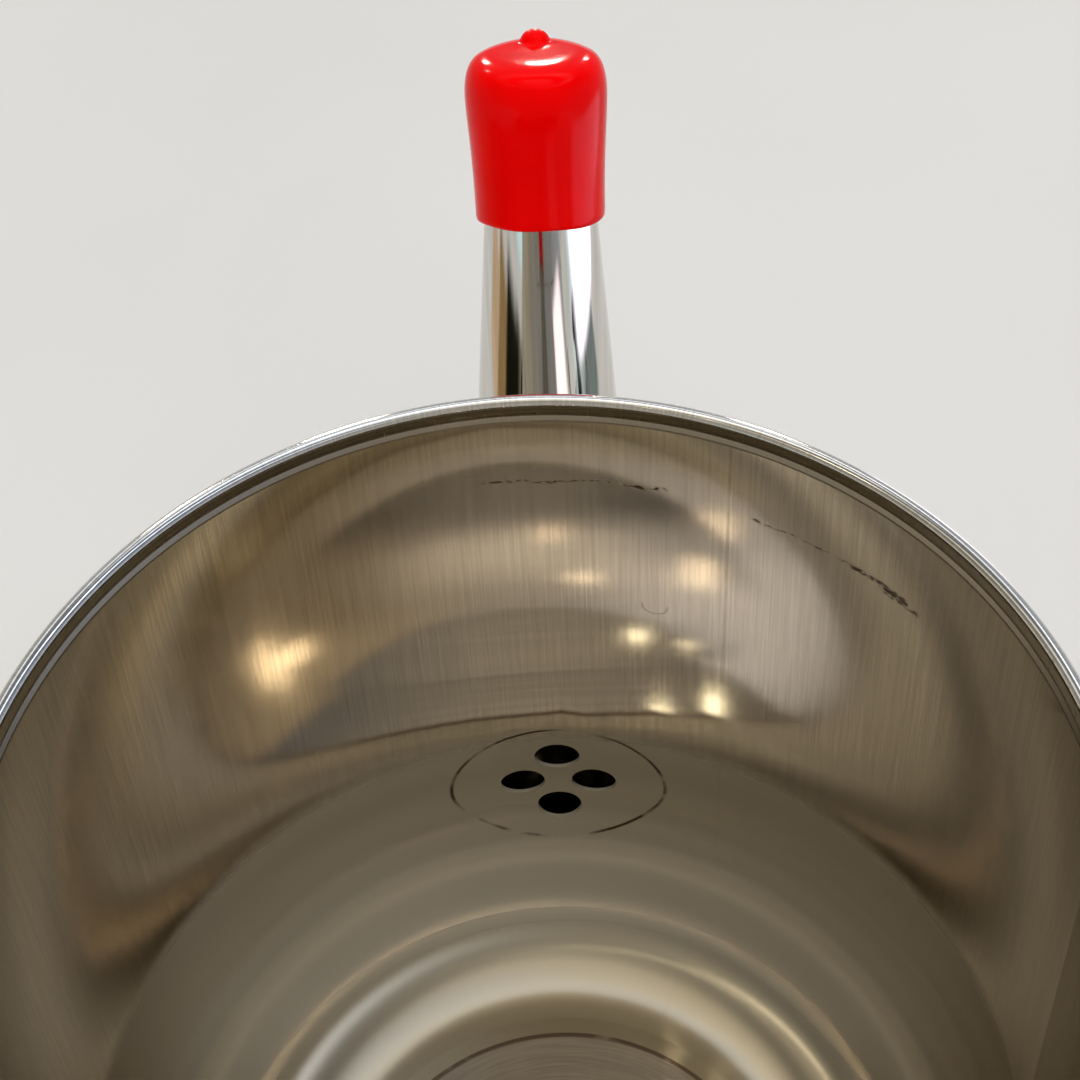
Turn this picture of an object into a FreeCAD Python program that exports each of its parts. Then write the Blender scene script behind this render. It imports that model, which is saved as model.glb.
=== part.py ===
import FreeCAD, Part
import math
import os

import Sketcher

# Bacon grease pot in stainless steel: an open pot with a rolled rim, a long tapered spout closed
# by a soft pull-off cap, and a hollow handle opposite.  Its strainer stands beside it with the lid
# seated on top, as they are set down while the pot is open.
#
# Frame: millimetres, +Z up, origin on the table under the middle of the pot.  The spout points
# along +Y, the handle along -Y, and the strainer and lid stand on the +X side.

Vector = FreeCAD.Vector
BEND_STEPS = 4

SIZES = {
    # pot
    "pot_height": (121.0, "table to the top of the rolled rim"),
    "rim_radius": (57.0, "outer radius of the rolled rim"),
    "rim_curl": (0.95, "radius of the curl at the rim"),
    "neck_height": (1.2, "straight neck between the curl and the step"),
    "step_height": (0.5, "height of the small step under the neck"),
    "step_in": (0.5, "how far the step comes in from the neck"),
    "wall_lean": (3.9, "degrees by which the wall widens on its way down"),
    "corner_radius": (25.5, "inside radius between wall and floor"),
    "pot_sheet": (0.6, "gauge of the pot's sheet"),
    "foot_flat": (2.5, "flat ring between the rounded corner and the welded disc"),
    "disc_land": (9.0, "flat edge of the disc, round its pressed-up middle"),
    "disc_rise": (0.6, "how far the middle of the disc is pressed up"),
    # strainer holes behind the spout
    "port_radius": (3.5, "radius of each of the four holes into the spout"),
    "port_side": (5.6, "middle of the spout to the left and right holes"),
    "port_rise": (7.4, "middle of the spout to the upper and lower holes"),
    # spout
    "spout_level": (32.1, "height of the spout's foot above the table"),
    "spout_foot": (17.0, "outer radius of the spout where it meets the wall"),
    "spout_knee": (13.4, "outer radius where the bend ends"),
    "spout_end": (6.05, "outer radius just under the lip"),
    "spout_sheet": (0.6, "gauge of the spout's sheet"),
    "spout_reach": (3.0, "straight stub between the wall and the bend"),
    "spout_throat": (2.0, "radius of the bend on its inner side"),
    "spout_tilt": (75.0, "degrees of the straight part above level"),
    "spout_over_rim": (11.8, "rim of the pot to the top of the straight part"),
    "lip_curl": (0.65, "radius of the curl at the spout's lip"),
    "flange_width": (2.2, "width of the welded flange round the spout's foot"),
    "flange_sheet": (0.8, "gauge of the welded flange"),
    # cap
    "cap_length": (22.2, "open edge to the top of the dome"),
    "cap_fit": (0.3, "radial gap at the cap's open edge"),
    "cap_skin": (0.8, "thickness at the open edge"),
    "cap_swell": (0.5, "how much thicker the skin is at its widest, under the dome"),
    "cap_crown_height": (18.2, "open edge to the widest place"),
    "cap_roof": (1.4, "thickness over the lip"),
    "cap_dome": (3.6, "outer rounding of the dome"),
    "cap_dome_inside": (1.6, "inner rounding of the dome"),
    "cap_gap": (0.35, "between the lip and the inside of the dome"),
    "nub_radius": (2.4, "radius of the drip left at the top by dipping"),
    "nub_height": (1.7, "height of that drip"),
    # handle
    "handle_drop": (20.0, "rim of the pot to the upper arm's centre line"),
    "handle_bottom": (43.0, "height of the lower arm's centre line"),
    "handle_reach": (31.0, "outside of the wall at the upper arm to the grip's centre line"),
    "handle_width": (18.0, "width of the pressed channel"),
    "handle_depth": (8.0, "depth of the pressed channel"),
    "handle_sheet": (0.8, "gauge of both handle pressings"),
    "handle_bend": (15.0, "radius of the handle's bends on the centre line"),
    "handle_joint": (0.05, "gap on either side of the strip that closes the channel"),
    "handle_front_bow": (1.2, "how far the closing strip bows towards the fingers"),
    "handle_crown": (2.5, "rounding of the channel's long outer edges"),
    "saddle_span": (17.0, "degrees of the wall that half a saddle covers"),
    "saddle_height": (23.0, "height of a saddle plate"),
    "saddle_sheet": (1.0, "gauge of a saddle plate"),
    "saddle_corner": (6.0, "corner radius of a saddle plate"),
    # strainer
    "stand_gap": (5.39, "pot to the lid on the strainer, seen from above"),
    "strainer_depth": (52.0, "underside of the flange to the table"),
    "strainer_gap": (0.8, "strainer to the pot's mouth when it hangs there"),
    "strainer_draft": (2.0, "degrees by which the strainer narrows on its way down"),
    "strainer_sheet": (0.5, "gauge of the strainer"),
    "strainer_corner": (6.0, "outside radius between wall and floor"),
    "strainer_bend": (1.0, "inside radius of the bend into the flange"),
    "strainer_overhang": (1.2, "how far the flange reaches past the pot's rim"),
    "strainer_curl": (0.8, "radius of the curl round the flange"),
    "sieve_hole": (1.6, "radius of a hole in the strainer's floor"),
    "sieve_pitch": (7.2, "distance between rings of holes"),
    "mesh_inset": (6.19, "rounding of the strainer's floor to the edge of the woven disc"),
    "mesh_thickness": (0.3, "thickness of the woven disc"),
    "retainer_width": (3.0, "width of the ring that holds the woven disc"),
    "retainer_height": (1.6, "height of that ring"),
    # lid
    "lid_sheet": (0.6, "gauge of the lid"),
    "lid_overhang": (0.8, "how far the lid reaches past the strainer's flange"),
    "lid_curl": (0.9, "radius of the curl round the lid"),
    "lid_seat_gap": (0.1, "between the lid's wired edge and the strainer's"),
    "lid_gap": (0.5, "lid's plug to the strainer's wall"),
    "lid_plug": (6.5, "depth of the plug under the lid's flange"),
    "lid_gutter": (7.0, "width of the flat gutter inside the plug"),
    "lid_bend": (1.0, "inside radius of the bends at the plug"),
    "lid_sweep": (3.0, "inside radius of the bends at the slope"),
    "lid_slope": (9.0, "width of the slope up to the raised middle"),
    "lid_rise": (10.0, "gutter to the raised middle"),
    "knob_base": (8.0, "radius of the knob's foot"),
    "knob_waist": (6.2, "radius of the knob's waist"),
    "knob_head": (13.5, "radius of the knob's head"),
    "knob_height": (24.0, "foot to crown of the knob"),
    "knob_edge": (3.0, "rounding of the knob's head"),
    "washer_radius": (12.0, "radius of the dished washer under the knob"),
    "washer_sheet": (0.8, "gauge of the dished washer"),
    "insert_radius": (3.4, "outer radius of the threaded insert"),
    "insert_length": (11.0, "length of the threaded insert"),
    "screw_radius": (2.0, "radius of the knob's screw"),
    "screw_fit": (0.05, "radial clearance round the screw"),
    "screw_length": (10.0, "underside of the head to the tip"),
    "screw_head": (4.0, "radius of the screw's head"),
    "screw_head_height": (2.4, "height of the screw's head"),
}


class Size:
    """A length or angle that carries both its value and the sheet expression it comes from."""

    def __init__(self, value, text=None):
        self.value = float(value)
        self.text = text or repr(float(value))

    def join(self, other, sign, value):
        return Size(value, "(%s %s %s)" % (self.text, sign, other.text))

    def __add__(self, other):
        other = size(other)
        return self.join(other, "+", self.value + other.value)

    def __sub__(self, other):
        other = size(other)
        return self.join(other, "-", self.value - other.value)

    def __mul__(self, other):
        other = size(other)
        return self.join(other, "*", self.value * other.value)

    def __truediv__(self, other):
        other = size(other)
        return self.join(other, "/", self.value / other.value)

    def __rsub__(self, other):
        return size(other) - self

    def __neg__(self):
        return size(0) - self

    __radd__ = __add__
    __rmul__ = __mul__


def size(number):
    return number if isinstance(number, Size) else Size(number)


def sine(angle):
    return Size(math.sin(math.radians(angle.value)), "sin(%s)" % angle.text)


def cosine(angle):
    return Size(math.cos(math.radians(angle.value)), "cos(%s)" % angle.text)


def tangent(angle):
    return Size(math.tan(math.radians(angle.value)), "tan(%s)" % angle.text)


def root(number):
    return Size(math.sqrt(number.value), "sqrt(%s)" % number.text)


# ---- document and sheet ----------------------------------------------------------------------

doc = FreeCAD.newDocument("GreasePot")
sheet = doc.addObject("Spreadsheet::Sheet", "Sizes")
for row, (alias, (number, meaning)) in enumerate(SIZES.items(), start=1):
    sheet.set("A%d" % row, str(number))
    sheet.setAlias("A%d" % row, alias)
    sheet.set("B%d" % row, meaning)
doc.recompute()


class Sheet:
    """Hands out the sheet's cells as Size values: cell.rim_radius and so on."""

    def __getattr__(self, alias):
        return Size(SIZES[alias][0], "Sizes." + alias)


cell = Sheet()
NODES = []


# ---- modelling helpers -----------------------------------------------------------------------

def new_body(label):
    body = doc.addObject("PartDesign::Body", label)
    body.Label = label
    NODES.append(body)
    return body


def bind(thing, prop, number):
    """Ties a property of a document object to its expression in the sheet."""
    thing.setExpression(prop, size(number).text)


def sketch_on(body, role, name, shift=None, turn=None):
    """A sketch on one of the body's own origin planes; shift and turn are in the plane's axes."""
    sketch = body.newObject("Sketcher::SketchObject", body.Label + "_" + name)
    plane = [item for item in body.Origin.OriginFeatures if item.Role == role][0]
    sketch.AttachmentSupport = [(plane, "")]
    sketch.MapMode = "FlatFace"
    if turn is not None:
        sketch.AttachmentOffset = FreeCAD.Placement(Vector(), FreeCAD.Rotation(Vector(1, 0, 0), turn.value))
        bind(sketch, "AttachmentOffset.Rotation.Angle", turn)
    for axis, distance in zip("xyz", shift or ()):
        bind(sketch, "AttachmentOffset.Base." + axis, distance)
    return sketch


def pin(sketch, edge, end, point):
    """Fixes one end of an edge at a point given in sheet sizes."""
    for kind, axis, number in (("DistanceX", -2, point[0]), ("DistanceY", -1, point[1])):
        number = size(number)
        if number.value == 0:
            sketch.addConstraint(Sketcher.Constraint("PointOnObject", edge, end, axis))
            continue
        index = sketch.addConstraint(Sketcher.Constraint(kind, -1, 1, edge, end, number.value))
        bind(sketch, "Constraints[%d]" % index, number)


def flat(point):
    return Vector(size(point[0]).value, size(point[1]).value, 0)


def arc_through(start, end, radius, left):
    """The short or long arc from start to end; left puts the centre to the left of the chord."""
    chord = end - start
    half = chord.Length / 2
    rise = math.sqrt(max(radius ** 2 - half ** 2, 0))
    normal = Vector(-chord.y, chord.x, 0).normalize()
    return (start + end) / 2 + normal * (rise if left else -rise)


def outline(sketch, points, closed=True):
    """Draws a chain of lines and arcs.

    A point is (x, y) in sheet sizes.  A third item makes the edge that leaves the point an arc:
    ("ccw" or "cw", radius), with "long" added where it is more than half a turn.
    """
    count = len(points) if closed else len(points) - 1
    for index in range(count):
        here, there = points[index], points[(index + 1) % len(points)]
        start, end = flat(here), flat(there)
        if len(here) == 2:
            sketch.addGeometry(Part.LineSegment(start, end), False)
            continue
        way, radius = here[2][0], size(here[2][1])
        small = "long" not in here[2]
        centre = arc_through(start, end, radius.value, (way == "ccw") == small)
        first, last = (start, end) if way == "ccw" else (end, start)
        angles = [math.atan2(spot.y - centre.y, spot.x - centre.x) for spot in (first, last)]
        circle = Part.Circle(centre, Vector(0, 0, 1), radius.value)
        sketch.addGeometry(Part.ArcOfCircle(circle, angles[0], angles[1]), False)
    ends = [(1, 2) if len(point) == 2 or point[2][0] == "ccw" else (2, 1) for point in points]
    for index in range(count):
        pin(sketch, index, ends[index][0], points[index])
        if len(points[index]) == 3:
            number = sketch.addConstraint(Sketcher.Constraint("Radius", index, size(points[index][2][1]).value))
            bind(sketch, "Constraints[%d]" % number, points[index][2][1])
        after = (index + 1) % len(points)
        if closed or after < count:
            sketch.addConstraint(Sketcher.Constraint("Coincident", index, ends[index][1], after, ends[after][0]))
        else:
            pin(sketch, index, ends[index][1], points[after])


def circle(sketch, centre, radius):
    radius = size(radius)
    edge = sketch.addGeometry(Part.Circle(flat(centre), Vector(0, 0, 1), radius.value), False)
    pin(sketch, edge, 3, centre)
    index = sketch.addConstraint(Sketcher.Constraint("Radius", edge, radius.value))
    bind(sketch, "Constraints[%d]" % index, radius)


def feature(body, kind, name, **settings):
    """Adds a PartDesign feature; Size settings are bound to the sheet, others are set as given."""
    made = body.newObject("PartDesign::" + kind, body.Label + "_" + name)
    for prop, setting in settings.items():
        if isinstance(setting, Size):
            setattr(made, prop, setting.value)
            bind(made, prop, setting)
        else:
            setattr(made, prop, setting)
    return made


def turned(body, name, points, kind="Revolution", angle=360.0, middle=False):
    """Turns an outline drawn in the XZ plane about the body's Z axis."""
    sketch = sketch_on(body, "XZ_Plane", name + "_outline")
    outline(sketch, points)
    return feature(body, kind, name, Profile=sketch, ReferenceAxis=(sketch, ["V_Axis"]), Angle=angle,
                   Midplane=middle)


def ring_at(shape, point):
    """Name of the full circular edge that passes through a point of the turned outline."""
    radius, level = size(point[0]).value, size(point[1]).value
    for number, edge in enumerate(shape.Edges, start=1):
        if isinstance(edge.Curve, Part.Circle) and edge.isClosed():
            if abs(edge.Curve.Radius - radius) < 0.001 and abs(edge.Curve.Center.z - level) < 0.001:
                return "Edge%d" % number
    raise ValueError("no ring at radius %.3f, level %.3f" % (radius, level))


def bend(body, name, above, below, radius, gauge, up):
    """Rounds both faces of a bend in turned sheet; up is True where the sheet's hollow is on top."""
    for side, point, hollow in (("above", above, up), ("below", below, not up)):
        base = body.Tip
        doc.recompute()
        feature(body, "Fillet", name + "_" + side, Base=(base, [ring_at(base.Shape, point)]),
                Radius=radius if hollow else radius + gauge)


def place(body, across=None, along=None, up=None):
    for axis, distance in (("x", across), ("y", along), ("z", up)):
        if distance is not None:
            bind(body, "Placement.Base." + axis, distance)


# ---- the pot's wall line, shared by everything that touches it --------------------------------

neck_radius = cell.rim_radius - cell.rim_curl * 2
mouth_radius = neck_radius - cell.step_in


def inside_radius(level):
    """Inside radius of the leaning wall at a height above the table."""
    return mouth_radius + (cell.pot_height - level) * tangent(cell.wall_lean)


corner_level = cell.pot_sheet + cell.corner_radius
corner_axis = inside_radius(corner_level) - cell.corner_radius / cosine(cell.wall_lean)
widest_radius = corner_axis + cell.corner_radius + cell.pot_sheet
disc_radius = corner_axis - cell.foot_flat
step_level = cell.pot_height - cell.rim_curl - cell.neck_height - cell.step_height


def wall_point(level, off):
    """A point of the leaning wall line, moved outwards by off, square to the wall."""
    return (inside_radius(level) + off * cosine(cell.wall_lean), level + off * sine(cell.wall_lean))


def corner_point(off, angle):
    """A point of the rounded corner, off outside the inner face, at an angle above level."""
    reach = cell.corner_radius + off
    return (corner_axis + reach * cosine(angle), corner_level + reach * sine(angle))


def corner_start(off):
    """Where the leaning wall runs into the rounded corner, off outside the inner face."""
    return corner_point(off, cell.wall_lean)


def wall_form(off):
    """Outline of the solid that fills the pot and its wall, off outside the inner face."""
    return [
        (0, cell.pot_sheet - off),
        (corner_axis, cell.pot_sheet - off, ("ccw", cell.corner_radius + off)),
        corner_start(off),
        wall_point(cell.pot_height, off),
        (0, wall_point(cell.pot_height, off)[1]),
    ]


def outside_radius(level):
    return inside_radius(level) + cell.pot_sheet / cosine(cell.wall_lean)


# ---- pot -------------------------------------------------------------------------------------

def make_pot_wall():
    """Rolled and seam-welded tube with a curled rim, spun in at the foot to a large radius."""
    body = new_body("pot_wall")
    curl_axis = cell.rim_radius - cell.rim_curl
    curl_level = cell.pot_height - cell.rim_curl
    curl_inside = cell.rim_curl - cell.pot_sheet
    neck_outside = curl_axis - curl_inside
    neck_foot = curl_level - cell.neck_height
    inner_top = wall_point(step_level, 0)
    outer_top = wall_point(step_level, cell.pot_sheet)
    inner_foot = corner_start(0)
    outer_foot = corner_start(cell.pot_sheet)
    turned(body, "shell", [
        (neck_radius, neck_foot),
        (neck_radius, curl_level, ("cw", cell.rim_curl, "long")),
        (curl_axis, curl_level - cell.rim_curl),
        (curl_axis, curl_level - curl_inside, ("ccw", curl_inside, "long")),
        (neck_outside, curl_level),
        (neck_outside, neck_foot),
        outer_top,
        (outer_foot[0], outer_foot[1], ("cw", cell.corner_radius + cell.pot_sheet)),
        (corner_axis, 0),
        (disc_radius, 0),
        (disc_radius, cell.pot_sheet),
        (corner_axis, cell.pot_sheet, ("ccw", cell.corner_radius)),
        inner_foot,
        inner_top,
    ])
    ports = sketch_on(body, "XZ_Plane", "ports_outline")
    for side, rise in ((1, 0), (-1, 0), (0, 1), (0, -1)):
        circle(ports, (cell.port_side * side, cell.spout_level + cell.port_rise * rise), cell.port_radius)
    feature(body, "Pocket", "ports", Profile=ports, Type="Length", Length=cell.rim_radius * 2, Reversed=False)
    return body


def sphere_radius(width, rise):
    """Radius of the dome that rises by a height over half its width."""
    return (width * width + rise * rise) / (rise * 2)


def make_pot_bottom():
    """Disc butt-welded into the foot of the wall, its middle pressed up so the pot stands on the edge."""
    body = new_body("pot_bottom")
    gauge = cell.pot_sheet
    middle = disc_radius - cell.disc_land
    arch = sphere_radius(middle, cell.disc_rise)
    turned(body, "disc", [
        (0, cell.disc_rise, ("cw", arch)),
        (middle, 0),
        (disc_radius, 0),
        (disc_radius, gauge),
        (middle, gauge, ("ccw", arch)),
        (0, cell.disc_rise + gauge),
    ])
    return body


# ---- spout -----------------------------------------------------------------------------------

bend_out = outside_radius(cell.spout_level) + cell.spout_reach
bend_radius = cell.spout_foot + cell.spout_throat
knee_out = bend_out + bend_radius * sine(cell.spout_tilt)
knee_up = cell.spout_level + bend_radius * (1 - cosine(cell.spout_tilt))
spout_length = (cell.pot_height + cell.spout_over_rim - knee_up) / sine(cell.spout_tilt)


def spout_axis(distance):
    """A point of the straight part's centre line, as (along Y, along Z) from the knee."""
    return (knee_out + distance * cosine(cell.spout_tilt), knee_up + distance * sine(cell.spout_tilt))


def spout_radius(distance):
    """Outer radius of the straight part at a distance from the knee."""
    return cell.spout_knee - (cell.spout_knee - cell.spout_end) * distance / spout_length


def spout_ring(body, name, out, up, tilt, radius):
    """A circle square to the spout's centre line."""
    sketch = sketch_on(body, "XZ_Plane", name, shift=(0, up, -out), turn=tilt)
    circle(sketch, (0, 0), radius)
    return sketch


def bend_rings(body, name, thinner):
    """Circles round the bend, from the stub to the knee."""
    made = []
    for step in range(BEND_STEPS + 1):
        share = step / BEND_STEPS
        tilt = cell.spout_tilt * share
        radius = cell.spout_foot + (cell.spout_knee - cell.spout_foot) * share - thinner
        out = bend_out + bend_radius * sine(tilt)
        up = cell.spout_level + bend_radius * (1 - cosine(tilt))
        made.append(spout_ring(body, "%s_%d" % (name, step), out, up, tilt, radius))
    return made


def loft(body, kind, name, sections):
    return feature(body, kind, name, Profile=sections[0], Sections=sections[1:], Ruled=False, Closed=False)


def make_spout_tube():
    """Bulged bend and straight taper in one sheet, with a curled lip, cut to the wall's form."""
    body = new_body("spout_tube")
    lip = spout_axis(spout_length)
    beyond = spout_axis(spout_length + 1)
    inside_wall = outside_radius(cell.spout_level) - cell.spout_foot * 0.6
    for kind, name, thinner in (("AdditiveLoft", "skin", Size(0)), ("SubtractiveLoft", "bore", cell.spout_sheet)):
        mouth = cell.spout_end - thinner
        start = spout_ring(body, name + "_start", inside_wall, cell.spout_level, Size(0),
                           cell.spout_foot - thinner)
        bend = bend_rings(body, name + "_bend", thinner)
        end = spout_ring(body, name + "_end", lip[0], lip[1], cell.spout_tilt, mouth)
        if kind == "SubtractiveLoft":
            make_lip(body, lip)
            run_out = spout_ring(body, name + "_run_out", beyond[0], beyond[1], cell.spout_tilt, mouth)
            loft(body, kind, name + "_past_lip", [end, run_out])
        loft(body, kind, name + "_of_stub", [start, bend[0]])
        loft(body, kind, name + "_of_bend", bend)
        loft(body, kind, name + "_of_taper", [bend[-1], end])
    turned(body, "wall_form", wall_form(cell.pot_sheet), kind="Groove")
    return body


def make_lip(body, lip):
    """The curl round the spout's mouth, turned about the straight part's centre line."""
    sketch = sketch_on(body, "XZ_Plane", "lip_outline", shift=(0, lip[1], -lip[0]), turn=cell.spout_tilt - 90)
    circle(sketch, (cell.spout_end - cell.spout_sheet + cell.lip_curl, -cell.lip_curl * 0.5), cell.lip_curl)
    feature(body, "Revolution", "lip", Profile=sketch, ReferenceAxis=(sketch, ["V_Axis"]), Angle=360.0)


def make_spout_flange():
    """Pressed washer, shaped to the wall, that is seam-welded round the spout's foot."""
    body = new_body("spout_flange")
    reach = cell.spout_foot + cell.flange_width
    top = cell.spout_level + reach + 2
    inner = cell.pot_sheet
    outer = inner + cell.flange_sheet
    low_inner = corner_point(inner, Size(-50))
    low_outer = corner_point(outer, Size(-50))
    sketch = sketch_on(body, "YZ_Plane", "band_outline")
    outline(sketch, [
        (low_inner[0], low_inner[1], ("ccw", cell.corner_radius + inner)),
        corner_start(inner),
        wall_point(top, inner),
        wall_point(top, outer),
        (corner_start(outer)[0], corner_start(outer)[1], ("cw", cell.corner_radius + outer)),
        low_outer,
    ])
    feature(body, "Revolution", "band", Profile=sketch, ReferenceAxis=(sketch, ["V_Axis"]), Angle=60.0,
            Midplane=True)
    middle = (0, cell.spout_level)
    trim = sketch_on(body, "XZ_Plane", "trim_outline")
    circle(trim, middle, reach)
    circle(trim, middle, cell.rim_radius)
    feature(body, "Pocket", "trim", Profile=trim, Type="Length", Length=cell.rim_radius * 2)
    hole = sketch_on(body, "XZ_Plane", "hole_outline")
    circle(hole, middle, cell.spout_foot)
    feature(body, "Pocket", "hole", Profile=hole, Type="Length", Length=cell.rim_radius * 2)
    return body


# ---- spout cap -------------------------------------------------------------------------------

cap_from_knee = (spout_length + cell.lip_curl * 0.5 + cell.cap_gap
                 - (cell.cap_length - cell.cap_roof))
cap_bore = spout_radius(cap_from_knee) + cell.cap_fit
cap_mouth = cap_bore + cell.cap_skin
cap_crown = cap_mouth + cell.cap_swell


def make_spout_cap():
    """Soft dip-moulded cap, pulled over the spout's lip, with the drip of the dipping on its crown."""
    body = new_body("spout_cap")
    shoulder = cell.cap_crown_height + cell.cap_dome
    ceiling = cell.cap_length - cell.cap_roof
    turned(body, "skin", [
        (cap_bore, 0),
        (cap_mouth, 0),
        (cap_crown, cell.cap_crown_height, ("ccw", cell.cap_dome)),
        (cap_crown - cell.cap_dome, shoulder),
        (cell.nub_radius, cell.cap_length, ("ccw", sphere_radius(cell.nub_radius, cell.nub_height))),
        (0, cell.cap_length + cell.nub_height),
        (0, ceiling),
        (cap_bore - cell.cap_dome_inside, ceiling, ("cw", cell.cap_dome_inside)),
        (cap_bore, ceiling - cell.cap_dome_inside),
    ])
    mouth = spout_axis(cap_from_knee)
    body.Placement = FreeCAD.Placement(Vector(), FreeCAD.Rotation(Vector(1, 0, 0), cell.spout_tilt.value - 90))
    bind(body, "Placement.Rotation.Angle", cell.spout_tilt - 90)
    place(body, along=mouth[0], up=mouth[1])
    return body


# ---- handle ----------------------------------------------------------------------------------

handle_top = cell.pot_height - cell.handle_drop
grip_out = outside_radius(handle_top) + cell.handle_reach


def make_saddle(label, level):
    """Plate of even thickness, rolled to the wall and spot-welded to it, that carries one arm."""
    body = new_body(label)
    low = level - cell.saddle_height / 2
    high = level + cell.saddle_height / 2
    inner = cell.pot_sheet
    outer = inner + cell.saddle_sheet
    sketch = sketch_on(body, "YZ_Plane", "plate_outline")
    corners = [wall_point(high, inner), wall_point(low, inner), wall_point(low, outer), wall_point(high, outer)]
    outline(sketch, [(-radius, height) for radius, height in corners])
    plate = feature(body, "Revolution", "plate", Profile=sketch, ReferenceAxis=(sketch, ["V_Axis"]),
                    Angle=cell.saddle_span * 2, Midplane=True)
    doc.recompute()
    short = ["Edge%d" % number for number, edge in enumerate(plate.Shape.Edges, start=1)
             if abs(edge.Length - cell.saddle_sheet.value) < 0.01]
    feature(body, "Fillet", "corners", Base=(plate, short), Radius=cell.saddle_corner)
    return body


def handle_path(body):
    """Centre line of the handle, from inside the upper saddle round to inside the lower one."""
    sketch = sketch_on(body, "YZ_Plane", "path")
    into = cell.handle_depth / 2
    bend = cell.handle_bend
    outline(sketch, [
        (into - outside_radius(handle_top), handle_top),
        (bend - grip_out, handle_top, ("ccw", bend)),
        (-grip_out, handle_top - bend),
        (-grip_out, cell.handle_bottom + bend, ("ccw", bend)),
        (bend - grip_out, cell.handle_bottom),
        (into - outside_radius(cell.handle_bottom), cell.handle_bottom),
    ], closed=False)
    return sketch


def sweep_handle(label, section):
    body = new_body(label)
    path = handle_path(body)
    start = outside_radius(handle_top) - cell.handle_depth / 2
    sketch = sketch_on(body, "XZ_Plane", "section", shift=(0, handle_top, start))
    outline(sketch, section)
    feature(body, "AdditivePipe", "sweep", Profile=sketch, Spine=(path, []))
    turned(body, "saddle_form", wall_form(cell.pot_sheet + cell.saddle_sheet), kind="Groove")
    return body


def make_handle_back():
    """Channel pressing that forms the back and both sides of the hollow handle."""
    half = cell.handle_width / 2
    deep = cell.handle_depth / 2
    crown = cell.handle_crown
    gauge = cell.handle_sheet
    return sweep_handle("handle_back", [
        (-half, -deep),
        (gauge - half, -deep),
        (gauge - half, deep - crown, ("cw", crown - gauge)),
        (crown - half, deep - gauge),
        (half - crown, deep - gauge, ("cw", crown - gauge)),
        (half - gauge, deep - crown),
        (half - gauge, -deep),
        (half, -deep),
        (half, deep - crown, ("ccw", crown)),
        (half - crown, deep),
        (crown - half, deep, ("ccw", crown)),
        (-half, deep - crown),
    ])


def make_handle_front():
    """Bowed strip that closes the channel on the side of the fingers."""
    half = cell.handle_width / 2 - cell.handle_sheet - cell.handle_joint
    edge = cell.handle_front_bow - cell.handle_depth / 2
    bow = cell.handle_front_bow
    radius = (half * half + bow * bow) / (bow * 2)
    gauge = cell.handle_sheet
    return sweep_handle("handle_front", [
        (-half, edge, ("ccw", radius)),
        (half, edge),
        (half, edge + gauge, ("cw", radius)),
        (-half, edge + gauge),
    ])


# ---- strainer --------------------------------------------------------------------------------

strainer_top = mouth_radius - cell.strainer_gap
strainer_rim = cell.rim_radius + cell.strainer_overhang
strainer_floor_edge = (strainer_top - (cell.strainer_depth - cell.strainer_corner) * tangent(cell.strainer_draft)
                       - cell.strainer_corner / cosine(cell.strainer_draft))
mesh_radius = strainer_floor_edge - cell.mesh_inset
stand_apart = widest_radius + strainer_rim + cell.lid_overhang + cell.stand_gap


def wired_edge(outermost, curl, gauge, level):
    """Where a flange of a gauge meets the wire rolled into its edge: (distance out, wire's height)."""
    half = gauge / 2
    return outermost - curl - root(curl * curl - half * half), level + half


def strainer_wall(level, off):
    """A point of the strainer's wall line, moved inwards by off."""
    radius = strainer_top - (cell.strainer_depth - level) * tangent(cell.strainer_draft)
    return (radius - off / cosine(cell.strainer_draft), level)


def make_strainer_cup():
    """Deep-drawn cup with a wired flange and a floor punched in rings of holes."""
    body = new_body("strainer_cup")
    gauge = cell.strainer_sheet
    edge = wired_edge(strainer_rim, cell.strainer_curl, gauge, cell.strainer_depth)[0]
    rounding = cell.strainer_corner

    def foot(off):
        reach = rounding - off
        return (strainer_floor_edge + reach * cosine(cell.strainer_draft),
                rounding - reach * sine(cell.strainer_draft))

    turned(body, "cup", [
        (0, 0),
        (strainer_floor_edge, 0, ("ccw", rounding)),
        foot(Size(0)),
        strainer_wall(cell.strainer_depth, Size(0)),
        (edge, cell.strainer_depth, ("ccw", cell.strainer_curl, "long")),
        (edge, cell.strainer_depth + gauge),
        strainer_wall(cell.strainer_depth + gauge, gauge),
        (foot(gauge)[0], foot(gauge)[1], ("cw", rounding - gauge)),
        (strainer_floor_edge, gauge),
        (0, gauge),
    ])
    flange = cell.strainer_depth
    bend(body, "flange", strainer_wall(flange + gauge, gauge), strainer_wall(flange, Size(0)), cell.strainer_bend,
         gauge, up=False)
    middle = sketch_on(body, "XY_Plane", "middle_hole")
    circle(middle, (0, 0), cell.sieve_hole)
    feature(body, "Pocket", "middle", Profile=middle, Type="Length", Length=gauge * 2, Reversed=True)
    rings = int((mesh_radius.value - cell.sieve_hole.value) / cell.sieve_pitch.value)
    for ring in range(1, rings + 1):
        first = sketch_on(body, "XY_Plane", "ring_%d_hole" % ring)
        circle(first, (cell.sieve_pitch * ring, 0), cell.sieve_hole)
        hole = feature(body, "Pocket", "ring_%d" % ring, Profile=first, Type="Length", Length=gauge * 2,
                       Reversed=True)
        body.Tip = feature(body, "PolarPattern", "ring_%d_pattern" % ring, Originals=[hole],
                           Axis=(first, ["N_Axis"]), Angle=360.0, Occurrences=6 * ring)
    place(body, across=stand_apart)
    return body


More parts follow.
